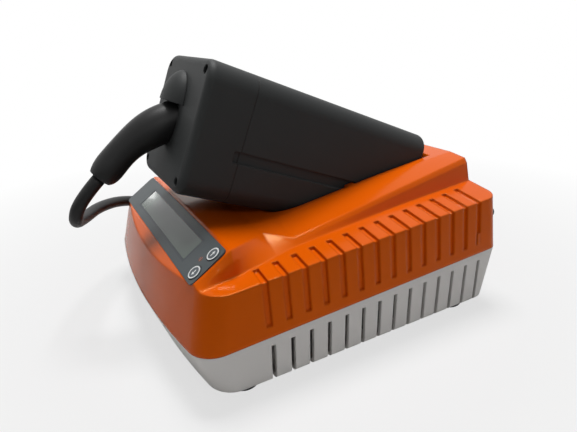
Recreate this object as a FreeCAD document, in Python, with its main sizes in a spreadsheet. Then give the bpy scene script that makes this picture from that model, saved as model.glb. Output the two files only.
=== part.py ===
import FreeCAD, Part
import Sketcher
import math
import os
from FreeCAD import Placement, Rotation, Vector

# Tabletop battery charger with a battery-shaped adapter pack lying in its cradle.
# Millimetres. +X is the vented side seen in the photograph, -Y the display end, +Z up.
# The origin is under the middle of the housing, on the surface the feet stand on.

doc = FreeCAD.newDocument("charger")
sheet = doc.addObject("Spreadsheet::Sheet", "Sizes")

# Every size that can be set by itself: name, millimetres (or a count, slope or angle), what it is.
SIZES = [
    ("body_half_width", 100.0, "half width of the housing at the seam"),
    ("body_half_length", 117.0, "half length of the housing at the seam"),
    ("front_bow", 10.0, "how far the front face bows out at the middle"),
    ("corner_round_front", 17.0, "plan radius of the two front corners"),
    ("corner_round_rear", 9.0, "plan radius of the two rear corners"),
    ("foot_height", 6.0, "height of the feet"),
    ("foot_radius", 9.0, "radius of a foot"),
    ("foot_side", 15.0, "feet, distance in from the housing's sides"),
    ("foot_front", 38.0, "front feet, distance behind the front"),
    ("foot_rear", 29.0, "rear feet, distance ahead of the rear"),
    ("foot_chamfer", 1.2, "bevel round the bottom of a foot"),
    ("seam_height", 39.85, "height of the seam at the middle of the length"),
    ("seam_slope", 0.0515, "rise of the seam per length"),
    ("shell_wall", 2.5, "wall of both housing halves"),
    ("lower_lean_front", 10.0, "lean of the lower front wall"),
    ("lower_lean_rear", 8.0, "lean of the lower rear wall"),
    ("lower_edge_round", 4.0, "round along the bottom edge"),
    ("cover_lean_front", 12.5, "lean of the cover's front wall over its height"),
    ("cover_lean_side", 6.5, "lean of the cover's side walls over its height"),
    ("cover_lean_rear", 2.5, "lean of the cover's rear wall over its height"),
    ("cover_lean_height", 50.0, "height over which the cover's walls lean that far"),
    ("shoulder_height", 73.74, "shoulder plane above the middle of a side"),
    ("shoulder_rise", 0.0745, "rise of the shoulder per length"),
    ("shoulder_tilt", 0.17, "rise of the shoulder per width, inwards"),
    ("panel_height", 76.9, "height of the display panel's middle"),
    ("panel_inset", 25.3, "display panel's middle behind the front of the housing"),
    ("panel_tilt", 35.0, "tilt of the display panel, degrees"),
    ("panel_side", 19.5, "edge of the display's flat in from the housing's side"),
    ("crest_inset", 38.0, "crest behind the display, distance behind the front"),
    ("saddle_inset", 66.0, "front edge of the cradle rim, distance behind the front"),
    ("saddle_height", 82.0, "height of the cradle rim at its front edge"),
    ("rim_low_height", 82.3, "lowest height of the cradle rim"),
    ("rim_rear_height", 105.2, "height of the cradle rim at the rear"),
    ("rim_land", 4.0, "width of the flat top of the rim beside the cradle"),
    ("groove_count", 14, "grooves and vents along each side"),
    ("groove_pitch", 12.5, "spacing of the grooves and vents"),
    ("groove_rear", 19.5, "rear edge of the last groove ahead of the rear of the housing"),
    ("groove_inset", 16.4, "inner end of the first groove in from the housing's side"),
    ("groove_width", 3.7, "width of a groove"),
    ("groove_depth", 1.5, "depth of a groove"),
    ("groove_above_seam", 6.3, "gap between the seam and a groove"),
    ("vent_width", 2.8, "width of a vent slot"),
    ("vent_offset", 1.9, "vent slot's front edge ahead of the groove's rear edge"),
    ("vent_below_seam", 5.7, "gap between a vent slot and the seam"),
    ("pack_from_rear", 182.0, "origin of the pack's own frame, distance ahead of the rear"),
    ("pack_tilt", 21.53, "tilt of the adapter pack, degrees"),
    ("pack_half_width", 42.0, "half width of the pack"),
    ("pack_low", 82.0, "pack's underside in the pack's own height"),
    ("pack_high", 162.0, "pack's top in the pack's own height"),
    ("pack_face", 64.4, "pack's end face ahead of its own origin"),
    ("nose_crease", 41.0, "crease where the end cap starts to narrow, ahead of the pack's origin"),
    ("nose_draw", 2.0, "how far the end cap narrows on each side at its face"),
    ("pack_parting", 33.0, "joint of end cap and shell ahead of the pack's origin"),
    ("pack_tail", 114.0, "pack's tail behind its own origin"),
    ("pack_round", 12.0, "round along the pack's four long edges"),
    ("pack_wall", 2.6, "wall of the pack's shell"),
    ("cap_face_round", 4.5, "round of the end cap's front edges"),
    ("tail_round", 4.0, "round of the shell's rear edges"),
    ("channel_lead", 4.0, "how far the side channel runs on into the end cap"),
    ("screw_half_span", 34.0, "end cap screws, half spacing across"),
    ("screw_low", 89.6, "lower end cap screws in the pack's height"),
    ("screw_high", 155.1, "upper end cap screws in the pack's height"),
    ("screw_well_radius", 2.7, "radius of the deep holes over the screws"),
    ("screw_head_radius", 2.3, "radius of the screw heads"),
    ("screw_well_depth", 12.0, "depth of the screw holes"),
    ("rail_low", 109.0, "side channel's lower edge in the pack's height"),
    ("rail_high", 116.0, "side channel's upper edge in the pack's height"),
    ("rail_channel_depth", 2.4, "depth of the pack's side channel"),
    ("rail_nose", 51.0, "front end of the cradle's rails behind the pack's origin"),
    ("rail_clear", 0.7, "gap between rail and channel"),
    ("cradle_clear", 2.0, "gap between pack and cradle at the sides"),
    ("cradle_floor_clear", 0.6, "gap between pack and cradle floor"),
    ("cradle_end_clear", 3.0, "gap between the pack's tail and the cradle's end wall"),
    ("label_side", 20.8, "end of the display label in from the housing's side"),
    ("label_half_depth", 13.3, "half depth of the display label"),
    ("label_round", 3.0, "corner radius of the display label"),
    ("label_thick", 1.0, "thickness of the display label"),
    ("label_proud", 0.3, "label's face above the panel"),
    ("glass_side", 46.4, "end of the display window in from the housing's side"),
    ("glass_half_depth", 7.4, "half depth of the display window"),
    ("key_side", 27.3, "middle of the keys in from the housing's side"),
    ("key_rear_s", 6.8, "rear key up the panel from its middle"),
    ("key_front_s", 7.1, "front key down the panel from its middle"),
    ("key_radius", 4.4, "radius of a key"),
    ("key_gap", 0.35, "gap round a key"),
    ("key_thick", 4.0, "height of a key"),
    ("key_proud", 0.5, "height of a key over its label"),
    ("lens_side", 33.0, "status lens, distance in from the housing's side"),
    ("lens_radius", 1.6, "radius of the status lens"),
    ("cord_radius", 4.25, "radius of the lead"),
    ("boot_radius_root", 11.6, "strain relief, radius where it leaves the end face"),
    ("boot_radius_end", 7.0, "strain relief, radius at its free end"),
    ("hood_half_width", 16.5, "half width of the hood over the strain relief"),
    ("hood_height", 21.0, "height of the hood above its open lower edge"),
    ("hood_depth", 9.5, "how far the hood stands off the end face"),
    ("hood_edge", 132.0, "hood's lower edge in the pack's height"),
    ("join_gap", 0.4, "gap between two lengths of the lead that meet end to end"),
    ("coil_inner", 37.0, "innermost turn of the coiled lead"),
    ("coil_pitch", 9.2, "spacing of the coil's turns and layers"),
    ("coil_x", 174.0, "coil's middle, distance to the left"),
    ("coil_y", 20.0, "coil's middle behind the origin"),
    ("fan_half", 25.0, "half size of the square fan"),
    ("fan_thick", 15.0, "thickness of the fan"),
    ("buffer_height", 68.0, "height of the rear buffers"),
    ("buffer_side", 12.0, "rear buffers in from the housing's sides"),
    ("buffer_radius", 4.0, "radius of a rear buffer"),
    ("boss_side", 14.0, "case screws in from the housing's sides"),
    ("boss_front", 55.0, "front case screws behind the front"),
    ("boss_rear", 21.0, "rear case screws ahead of the rear"),
    ("boss_radius", 4.0, "radius of a case screw boss"),
    ("board_side", 30.0, "main board's edge in from the left side"),
    ("board_front", 58.0, "main board's edge behind the front"),
    ("board_stand", 4.0, "main board above the floor"),
    ("board_thick", 1.6, "thickness of the circuit boards"),
]
for row, (alias, value, remark) in enumerate(SIZES, start=2):
    sheet.set("A%d" % row, remark)
    sheet.set("B%d" % row, repr(value))
    sheet.setAlias("B%d" % row, alias)
doc.recompute()


def size(alias):
    """The value of one named size."""
    return float(sheet.get(alias))


def bind(thing, **sizes):
    """Ties properties of an object to formulas in the named sizes."""
    for prop, formula in sizes.items():
        text = formula
        for alias, _value, _remark in sorted(SIZES, key=lambda s: -len(s[0])):
            text = text.replace("@" + alias, "Sizes." + alias)
        thing.setExpression(prop.replace("__", "."), text)


def place(thing, across, along, up):
    """Ties an object's position to three formulas."""
    bind(thing, Placement__Base__x=across, Placement__Base__y=along, Placement__Base__z=up)


def shape_node(label, shape):
    """A sub-part whose form is worked out from the sheet."""
    node = doc.addObject("Part::Feature", label)
    node.Label = label
    node.Shape = shape
    return node


parts = {}


def keep(label, thing):
    """Names a finished sub-part."""
    thing.Label = label
    parts[label] = thing
    return thing


def body_plane(body, role):
    """One of a body's own origin planes."""
    for feature in body.Origin.OriginFeatures:
        if feature.Role == role:
            return feature
    return None


def new_sketch(body, name, role="XY_Plane"):
    sketch = body.newObject("Sketcher::SketchObject", name)
    sketch.AttachmentSupport = (body_plane(body, role), [""])
    sketch.MapMode = "FlatFace"
    return sketch


def draw_circle(sketch, radius, x="0", y="0"):
    """A circle whose radius and centre are tied to formulas."""
    index = sketch.addGeometry(Part.Circle(Vector(1, 1, 0), Vector(0, 0, 1), 5.0))
    for kind, formula, args in (
        ("Radius", radius, (index,)),
        ("DistanceX", x, (-1, 1, index, 3)),
        ("DistanceY", y, (-1, 1, index, 3)),
    ):
        number = value_of(formula)
        constraint = sketch.addConstraint(Sketcher.Constraint(kind, *args, number))
        sketch.setExpression("Constraints[%d]" % constraint, spelled(formula))


def draw_rectangle(sketch, half_x, half_y, x="0", y="0"):
    """A rectangle about a centre, its four sides tied to formulas."""
    corners = [Vector(-1, -1, 0), Vector(1, -1, 0), Vector(1, 1, 0), Vector(-1, 1, 0)]
    first = len(sketch.Geometry)
    for k in range(4):
        sketch.addGeometry(Part.LineSegment(corners[k] * 5, corners[(k + 1) % 4] * 5))
    for k in range(4):
        sketch.addConstraint(Sketcher.Constraint("Coincident", first + k, 2, first + (k + 1) % 4, 1))
    for k, kind in enumerate(("Horizontal", "Vertical", "Horizontal", "Vertical")):
        sketch.addConstraint(Sketcher.Constraint(kind, first + k))
    for kind, formula, corner in (
        ("DistanceX", "(%s) - (%s)" % (x, half_x), 0),
        ("DistanceY", "(%s) - (%s)" % (y, half_y), 0),
        ("DistanceX", "(%s) + (%s)" % (x, half_x), 2),
        ("DistanceY", "(%s) + (%s)" % (y, half_y), 2),
    ):
        number = value_of(formula)
        made = sketch.addConstraint(Sketcher.Constraint(kind, -1, 1, first + corner, 1, number))
        sketch.setExpression("Constraints[%d]" % made, spelled(formula))


def spelled(formula):
    """A formula with its sizes spelled as the sheet knows them."""
    return formula.replace("@", "Sizes.")


def value_of(formula):
    """The present value of a formula, read back through the sheet."""
    probe = doc.getObject("Probe") or doc.addObject("App::FeaturePython", "Probe")
    if not hasattr(probe, "Amount"):
        probe.addProperty("App::PropertyFloat", "Amount")
    probe.setExpression("Amount", spelled(formula))
    probe.recompute()
    return float(probe.Amount)


def pad(body, sketch, length, reverse=False):
    feature = body.newObject("PartDesign::Pad", sketch.Name + "Pad")
    feature.Profile = sketch
    feature.Reversed = reverse
    bind(feature, Length=length)
    return feature


def pocket(body, sketch, length, reverse=False):
    feature = body.newObject("PartDesign::Pocket", sketch.Name + "Pocket")
    feature.Profile = sketch
    feature.Reversed = reverse
    bind(feature, Length=length)
    return feature


# Reading of the driving sizes

wall = size("shell_wall")
foot = size("foot_height")
half_w = size("body_half_width")
half_l = size("body_half_length")
panel_y = size("panel_inset") - half_l
tilt = math.radians(size("panel_tilt"))
PACK_ORIGIN = Vector(0, half_l - size("pack_from_rear"), foot)
PACK_PLACE = Placement(PACK_ORIGIN, Rotation(Vector(1, 0, 0), -size("pack_tilt")))
PANEL_PLACE = Placement(
    Vector(0, panel_y, size("panel_height")),
    Rotation(Vector(1, 0, 0), size("panel_tilt")),
)


def seam_at(y):
    return size("seam_height") + size("seam_slope") * y


def shoulder_at(x, y):
    return size("shoulder_height") + size("shoulder_rise") * y + size("shoulder_tilt") * (half_w - 3.0 - x)


def panel_at(y):
    return size("panel_height") + math.tan(tilt) * (y - panel_y)


def rim_at(y):
    """Height of the cradle rim: a steady rise to the rear, then level."""
    low = 87.0 - half_l
    flat = half_l - 15.0
    rise = size("rim_rear_height") - size("rim_low_height")
    return size("rim_low_height") + rise * min(max((y - low) / (flat - low), 0.0), 1.0)


# Plan outline of the housing: bowed front, straight sides and rear, rounded corners

def outline(z, side_in, front_in, rear_in, inset=0.0):
    half = half_w - side_in - inset
    crown = -half_l + front_in + inset
    rear = half_l - rear_in - inset
    front_r = max(size("corner_round_front") - inset, 3.0)
    rear_r = max(size("corner_round_rear") - inset, 3.0)
    bow = size("front_bow")
    big = (half * half + bow * bow) / (2.0 * bow)
    cy = crown + big
    corner_y = cy - math.sqrt((big - front_r) ** 2 - (half - front_r) ** 2)
    toward = Vector(half - front_r, corner_y - cy, 0)
    toward.normalize()
    touch = Vector(0, cy, 0) + toward * big
    half_way = Vector(math.sin(math.radians(45)), -math.sin(math.radians(45)), 0)
    mid = toward + Vector(1, 0, 0)
    mid.normalize()
    knee = Vector(half - front_r, corner_y, 0) + mid * front_r
    side_low = Vector(half, corner_y, 0)
    side_high = Vector(half, rear - rear_r, 0)
    bend = Vector(half - rear_r, rear - rear_r, 0) - Vector(-half_way.x, half_way.y, 0) * rear_r
    rear_end = Vector(half - rear_r, rear, 0)

    def flip(p):
        return Vector(-p.x, p.y, 0)

    def up(p):
        return Vector(p.x, p.y, z)

    edges = [
        Part.Arc(up(flip(touch)), up(Vector(0, crown, 0)), up(touch)).toShape(),
        Part.Arc(up(touch), up(knee), up(side_low)).toShape(),
        Part.LineSegment(up(side_low), up(side_high)).toShape(),
        Part.Arc(up(side_high), up(bend), up(rear_end)).toShape(),
        Part.LineSegment(up(rear_end), up(flip(rear_end))).toShape(),
        Part.Arc(up(flip(rear_end)), up(flip(bend)), up(flip(side_high))).toShape(),
        Part.LineSegment(up(flip(side_high)), up(flip(side_low))).toShape(),
        Part.Arc(up(flip(side_low)), up(flip(knee)), up(flip(touch))).toShape(),
    ]
    return Part.Wire(edges)


SEAM_PLACE = Placement(
    Vector(0, 0, size("seam_height")),
    Rotation(Vector(1, 0, 0), math.degrees(math.atan(size("seam_slope")))),
)


def seam_slab(above):
    """Everything above, or below, the sloping seam plane."""
    span = 400.0
    reach = 200.0
    slab = Part.makeBox(span, span, reach, Vector(-span / 2, -span / 2, 0 if above else -reach))
    slab.Placement = SEAM_PLACE
    return slab


# Upper cover, outside form: cross sections along the length, joined by straight faces

def cover_sections(inset):
    """Half sections as (y, [(x, z), ...]) from the middle line outwards."""
    crest = size("crest_inset") - half_l
    front = -half_l - 5.0
    saddle = size("saddle_inset") - half_l
    flat = half_w - size("panel_side")
    rim = pack_w + size("cradle_clear") + size("rim_land")
    near = 13.0 - half_l
    tip = 23.0 - half_l
    low = 82.0 - half_l
    mid = half_l - 69.0
    rear = half_l + 1.0
    # Along, height of the flat, its inner edge, then edge, brow and foot of the step down:
    # each of these as the distance in from the side, the first two with their drops.
    rows = [
        (front, panel_at(front), rim, (20.0, 0.0), (17.0, 0.5), 13.5),
        (near, panel_at(near), rim, (20.0, 0.0), (17.0, 0.7), 13.5),
        (tip, panel_at(tip), rim, (half_w - flat, 0.6), (16.8, 3.6), 15.0),
        (crest, panel_at(crest), rim, (half_w - flat, 1.2), (17.2, 7.0), 16.4),
        (saddle, size("saddle_height"), rim, (39.0, 1.2), (34.0, 3.4), 21.0),
        (low, rim_at(low), rim, (28.0, 4.4), (26.0, 6.0), 24.0),
        (mid, rim_at(mid), rim, (33.0, 4.2), (31.2, 7.0), 29.4),
        (rear, rim_at(rear), rim + 2.0, (36.5, 1.7), (34.2, 5.0), 31.2),
    ]
    outer = half_w + 10.0
    made = []
    for y, top, land, edge, brow, root in rows:
        root_x = half_w - root
        root_z = min(shoulder_at(root_x, y), top - 1.0)
        outer_z = root_z - size("shoulder_tilt") * (outer - root_x)
        ring = [(0.0, top), (land, top), (half_w - edge[0], top - edge[1]), (half_w - brow[0], top - brow[1])]
        ring += [(root_x, root_z), (outer, outer_z), (outer, foot + 2.0)]
        moved = []
        for k, (x, z) in enumerate(ring):
            side = 0.0 if k in (0, 1, 5, 6) else inset * 0.8
            drop = inset if k < 6 else 0.0
            moved.append((x - side, z - drop))
        made.append((y, moved))
    return made


def cover_form(inset=0.0):
    """The cover's full outside form, or the same form drawn in by a wall."""
    wires = []
    for y, half in cover_sections(inset):
        ring = [Vector(x, y, z) for x, z in half]
        ring += [Vector(-x, y, z) for x, z in reversed(half) if x > 0]
        ring.append(ring[0])
        wires.append(Part.makePolygon(ring))
    loft = Part.makeLoft(wires, True, True)
    height = size("cover_lean_height")
    slope = size("seam_slope")
    side = size("cover_lean_side") / height
    front = size("cover_lean_front") / height + slope
    rear = size("cover_lean_rear") / height - slope
    down = -18.0
    up = 75.0
    low = outline(down, side * down, front * down, rear * down, inset)
    high = outline(up, side * up, front * up, rear * up, inset)
    prism = Part.makeLoft([low, high], True, True)
    prism.Placement = SEAM_PLACE
    return loft.common(prism)


# Cradle: the space the pack lies in, in the pack's own frame

def pack_block(half_x, low, high, start, end, radius):
    """A bar along the pack's axis with rounded long edges."""
    block = Part.makeBox(2 * half_x, end - start, high - low, Vector(-half_x, start, low))
    if radius > 0:
        edges = [
            edge for edge in block.Edges
            if abs(edge.Vertexes[0].X - edge.Vertexes[1].X) < 0.01
            and abs(edge.Vertexes[0].Z - edge.Vertexes[1].Z) < 0.01
        ]
        block = block.makeFillet(radius, edges)
    return block


side_clear = size("cradle_clear")
floor_clear = size("cradle_floor_clear")
pack_w = size("pack_half_width")
pack_low = size("pack_low")
pack_high = size("pack_high")
tail = size("pack_tail")
pack_round = size("pack_round")
cradle_end = tail + size("cradle_end_clear")
above_all = pack_high + 60.0

cradle_space = pack_block(pack_w + side_clear, pack_low - floor_clear, above_all,
                          -120.0, cradle_end, pack_round)
cradle_space.Placement = PACK_PLACE
tub = pack_block(pack_w + side_clear + wall, pack_low - floor_clear - wall, pack_high,
                 -60.0, cradle_end + wall, pack_round + wall)
tub.Placement = PACK_PLACE

outside = cover_form(0.0)
inside = cover_form(wall)
cover = outside.cut(inside)
cover = cover.fuse(tub.common(outside))
cover = cover.cut(cradle_space)
cover = cover.common(seam_slab(True))

# Rails on the cradle's side walls that run in the pack's side channels

rail_clear = size("rail_clear")
channel = size("rail_channel_depth")
for sign in (-1, 1):
    inner = pack_w - channel + rail_clear
    outer = pack_w + side_clear + wall / 2
    rail = Part.makeBox(
        outer - inner,
        tail - 3.0 - size("rail_nose"),
        size("rail_high") - size("rail_low") - 2 * rail_clear,
        Vector(inner if sign > 0 else -outer, size("rail_nose"), size("rail_low") + rail_clear),
    )
    rail.Placement = PACK_PLACE
    cover = cover.fuse(rail.common(outside))

# Decorative grooves down both sides, cut to an even depth under the outside form

skin = outside.cut(cover_form(size("groove_depth")))
groove_count = int(size("groove_count"))
groove_last = half_l - size("groove_rear")
groove_first = groove_last - (groove_count - 1) * size("groove_pitch")
groove_edges = [groove_first + k * size("groove_pitch") for k in range(groove_count)]
groove_draw = 0.0573
groove_end = half_w + 30.0
cutters = []
for back in groove_edges:
    reach_in = half_w - size("groove_inset") - groove_draw * (back - groove_first)
    low = seam_at(back) + size("groove_above_seam")
    width = size("groove_width")
    for sign in (-1, 1):
        start = reach_in if sign > 0 else -groove_end
        cutters.append(Part.makeBox(groove_end - reach_in, width, groove_end, Vector(start, back - width, low)))
grooves = skin.common(Part.makeCompound(cutters))
cover = cover.cut(grooves)

# Openings in the cover for the display, the keys, the lens and the terminal blades

label_w = half_w - size("label_side")
label_d = size("label_half_depth")
label_t = size("label_thick")
proud = size("label_proud")
key_hole = size("key_radius") + size("key_gap")


def panel_box(half_x, half_s, depth, top, x=0.0, s=0.0, radius=0.0):
    box = Part.makeBox(2 * half_x, 2 * half_s, depth, Vector(x - half_x, s - half_s, top - depth))
    if radius > 0:
        edges = [
            edge for edge in box.Edges
            if abs(edge.Vertexes[0].Z - edge.Vertexes[1].Z) > 0.01
        ]
        box = box.makeFillet(radius, edges)
    return box


def panel_rod(radius, depth, top, x, s):
    return Part.makeCylinder(radius, depth, Vector(x, s, top - depth))


key_spots = {
    "key_rear": (half_w - size("key_side"), size("key_rear_s")),
    "key_front": (half_w - size("key_side"), -size("key_front_s")),
}
lens_spot = (half_w - size("lens_side"), 0.0)
glass_w = half_w - size("glass_side")
glass_d = size("glass_half_depth")
seat_gap = 0.15
cut_deep = 12.0
cut_top = 1.0
through = [
    panel_box(label_w + seat_gap, label_d + seat_gap, label_t, proud, radius=size("label_round")),
    panel_box(glass_w - 1.0, glass_d - 1.0, cut_deep, cut_top),
    panel_rod(size("lens_radius") + 0.1, cut_deep, cut_top, *lens_spot),
]
for spot in key_spots.values():
    through.append(panel_rod(key_hole, cut_deep, cut_top, *spot))
for tool in through:
    tool.Placement = PANEL_PLACE
    cover = cover.cut(tool)

blade_v = pack_low + 13.0
slot_gap = 0.3
blade_half_z = 3.2
blade_half_x = 0.5
blade_xs = [-24.0, -8.0, 8.0, 24.0]
for x in blade_xs:
    slot = Part.makeBox(
        2 * (blade_half_x + slot_gap), 10.0, 2 * (blade_half_z + slot_gap),
        Vector(x - blade_half_x - slot_gap, cradle_end - 2.0, blade_v - blade_half_z - slot_gap),
    )
    slot.Placement = PACK_PLACE
    cover = cover.cut(slot)

# Bosses for the case screws, each with a web out to the side wall

boss_x = half_w - size("boss_side")
boss_spots = [
    (sign * boss_x, y)
    for y in (size("boss_front") - half_l, half_l - size("boss_rear"))
    for sign in (-1, 1)
]
boss_radius = size("boss_radius")
boss_height = 14.0
boss_gap = 0.4
web = 2.4
web_reach = size("boss_side") + 2.0
for x, y in boss_spots:
    foot_of_boss = seam_at(y) + boss_gap
    boss = Part.makeCylinder(boss_radius, boss_height, Vector(x, y, foot_of_boss))
    web_start = x if x > 0 else x - web_reach
    boss = boss.fuse(Part.makeBox(web_reach, web, boss_height, Vector(web_start, y - web / 2, foot_of_boss)))
    boss = boss.common(outside)
    bore = Part.makeCylinder(1.3, boss_height - 3.0, Vector(x, y, seam_at(y) - 1.0))
    cover = cover.fuse(boss).cut(bore)
cover = cover.removeSplitter()
keep("upper_housing", shape_node("upper_housing", cover))

# Lower shell: an open tray with vents along both sides

def tray_form(inset, floor, rounded):
    top = seam_at(half_l) + 4.0
    front_top = seam_at(-half_l)
    rear_top = seam_at(half_l)
    front = size("lower_lean_front") / (front_top - foot)
    rear = size("lower_lean_rear") / (rear_top - foot)
    bottom = foot + floor
    low = outline(bottom, 0.0, front * (front_top - bottom), rear * (rear_top - bottom), inset)
    high = outline(top, 0.0, front * (front_top - top), rear * (rear_top - top), inset)
    form = Part.makeLoft([low, high], True, True)
    if rounded > 0:
        edges = [
            edge for edge in form.Edges
            if abs(edge.BoundBox.ZMin - foot - floor) < 0.01 and abs(edge.BoundBox.ZMax - foot - floor) < 0.01
        ]
        form = form.makeFillet(rounded, edges)
    return form


tray = tray_form(0.0, 0.0, size("lower_edge_round"))
tray = tray.cut(tray_form(wall, wall, max(size("lower_edge_round") - wall, 0.5)))
tray = tray.common(seam_slab(False))
for edge_y in groove_edges:
    top = seam_at(edge_y) - size("vent_below_seam")
    for sign in (-1, 1):
        start = half_w - 6.0 if sign > 0 else -half_w - 6.0
        slot = Part.makeBox(12.0, size("vent_width"), top - foot + 2.0,
                            Vector(start, edge_y - size("vent_offset"), foot - 2.0))
        tray = tray.cut(slot)
for x, y in boss_spots:
    top = seam_at(y) - 0.4
    boss = Part.makeCylinder(boss_radius + 0.6, top - foot - 0.5, Vector(x, y, foot + 0.5))
    tray = tray.fuse(boss)
    tray = tray.cut(Part.makeCylinder(1.6, 80.0, Vector(x, y, foot - 5.0)))
    tray = tray.cut(Part.makeCylinder(3.2, 10.0, Vector(x, y, foot - 1.0)))

# Rear socket for the mains cord: an opening in the lower shell's rear wall

inlet_x = 48.0 - half_w
inlet_z = foot + 18.0
inlet_half_w = 13.0
inlet_half_h = 9.5
inlet_face = half_l - 4.0
inlet_tool = Part.makeBox(2 * inlet_half_w, 40.0, 2 * inlet_half_h,
                          Vector(inlet_x - inlet_half_w, inlet_face - 30.0, inlet_z - inlet_half_h))
tray = tray.cut(inlet_tool)
tray = tray.removeSplitter()
keep("lower_housing", shape_node("lower_housing", tray))

# Feet: turned rubber buttons with a short stem in the floor

foot_spots = {
    "foot_front_right": ("@body_half_width - @foot_side", "@foot_front - @body_half_length"),
    "foot_front_left": ("@foot_side - @body_half_width", "@foot_front - @body_half_length"),
    "foot_rear_right": ("@body_half_width - @foot_side", "@body_half_length - @foot_rear"),
    "foot_rear_left": ("@foot_side - @body_half_width", "@body_half_length - @foot_rear"),
}
for name, (across, along) in foot_spots.items():
    body = doc.addObject("PartDesign::Body", name + "_body")
    sketch = new_sketch(body, name + "_disc")
    draw_circle(sketch, "@foot_radius")
    disc = pad(body, sketch, "@foot_height")
    doc.recompute()
    rounding = body.newObject("PartDesign::Chamfer", name + "_edge")
    bottom = [
        "Edge%d" % (k + 1) for k, edge in enumerate(disc.Shape.Edges)
        if edge.BoundBox.ZMax < 0.01
    ]
    rounding.Base = (disc, bottom)
    bind(rounding, Size="@foot_chamfer")
    place(body, across, along, "0")
    keep(name, body)

# Display: label with cut-outs, window, module and board behind it

label = doc.addObject("PartDesign::Body", "display_label_body")
sketch = new_sketch(label, "label_outline")
LABEL_HALF = "(@body_half_width - @label_side)"
GLASS_HALF = "(@body_half_width - @glass_side)"
KEY_ACROSS = "@body_half_width - @key_side"
draw_rectangle(sketch, LABEL_HALF, "@label_half_depth")
plate = pad(label, sketch, "@label_thick")
doc.recompute()
rounds = label.newObject("PartDesign::Fillet", "label_corners")
rounds.Base = (plate, [
    "Edge%d" % (k + 1) for k, edge in enumerate(plate.Shape.Edges)
    if edge.BoundBox.ZLength > 0.5
])
bind(rounds, Radius="@label_round")
doc.recompute()
sketch = new_sketch(label, "label_cuts")
draw_rectangle(sketch, GLASS_HALF, "@glass_half_depth")
draw_circle(sketch, "@key_radius + @key_gap", KEY_ACROSS, "@key_rear_s")
draw_circle(sketch, "@key_radius + @key_gap", KEY_ACROSS, "-@key_front_s")
draw_circle(sketch, "@lens_radius", "@body_half_width - @lens_side", "0")
pocket(label, sketch, "@label_thick + 1", reverse=True)
label.Placement = PANEL_PLACE.multiply(Placement(Vector(0, 0, proud - label_t), Rotation()))
keep("display_label", label)

window = doc.addObject("Part::Box", "lcd_window_box")
bind(window, Length="2 * " + GLASS_HALF + " - 0.1", Width="2 * @glass_half_depth - 0.1", Height="@label_thick - 0.2")
window.Placement = PANEL_PLACE.multiply(
    Placement(Vector(-glass_w + 0.05, -glass_d + 0.05, proud - label_t), Rotation()))
keep("lcd_window", window)

module = doc.addObject("Part::Box", "lcd_module_box")
module_deep = 5.0
bind(module, Length="2 * " + GLASS_HALF + " - 4", Width="2 * @glass_half_depth - 4", Height=repr(module_deep))
module.Placement = PANEL_PLACE.multiply(
    Placement(Vector(-glass_w + 2.0, -glass_d + 2.0, proud - label_t - module_deep), Rotation()))
keep("lcd_module", module)

lens_length = 5.7
lens = doc.addObject("Part::Cylinder", "status_lens_rod")
bind(lens, Radius="@lens_radius", Height=repr(lens_length))
lens.Placement = PANEL_PLACE.multiply(Placement(Vector(lens_spot[0], 0, proud - lens_length), Rotation()))
keep("status_lens", lens)

key_edge = 0.4
for name, (x, s) in key_spots.items():
    body = doc.addObject("PartDesign::Body", name + "_body")
    sketch = new_sketch(body, name + "_disc")
    draw_circle(sketch, "@key_radius")
    disc = pad(body, sketch, "@key_thick")
    doc.recompute()
    edge_round = body.newObject("PartDesign::Fillet", name + "_edge")
    edge_round.Base = (disc, [
        "Edge%d" % (k + 1) for k, edge in enumerate(disc.Shape.Edges)
        if edge.BoundBox.ZMin > size("key_thick") - 0.01
    ])
    edge_round.Radius = key_edge
    body.Placement = PANEL_PLACE.multiply(
        Placement(Vector(x, s, proud + size("key_proud") - size("key_thick")), Rotation()))
    keep(name, body)

display_board = doc.addObject("Part::Box", "display_board_box")
board_top = proud - label_t - module_deep
bind(display_board, Length="2 * " + LABEL_HALF + " - 6", Width="2 * @label_half_depth - 3", Height="@board_thick")
display_board.Placement = PANEL_PLACE.multiply(Placement(
    Vector(-label_w + 3.0, -label_d + 1.5, board_top - size("board_thick")), Rotation()))
keep("display_board", display_board)

# Adapter pack: end cap and shell, in the pack's own frame

face_y = -size("pack_face")
crease_y = -size("nose_crease")
part_y = -size("pack_parting")
shell_in = size("pack_wall")
channel_start = part_y - size("channel_lead")


def channel_tools(start, end):
    tools = []
    for sign in (-1, 1):
        inner = pack_w - channel
        x = inner if sign > 0 else -pack_w - 2.0
        tools.append(Part.makeBox(channel + 2.0, end - start, size("rail_high") - size("rail_low"),
                                  Vector(x, start, size("rail_low"))))
    return tools




def nose_wedge(sign):
    """What the end cap's side loses where it narrows towards its face."""
    angle = math.atan2(size("nose_draw"), crease_y - face_y)
    span = 200.0
    wedge = Part.makeBox(span, span, span, Vector(0 if sign > 0 else -span, -span, -span / 2))
    turn = Rotation(Vector(0, 0, 1), sign * math.degrees(angle))
    wedge.Placement = Placement(Vector(sign * pack_w, crease_y, (pack_low + pack_high) / 2), turn)
    return wedge


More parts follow.
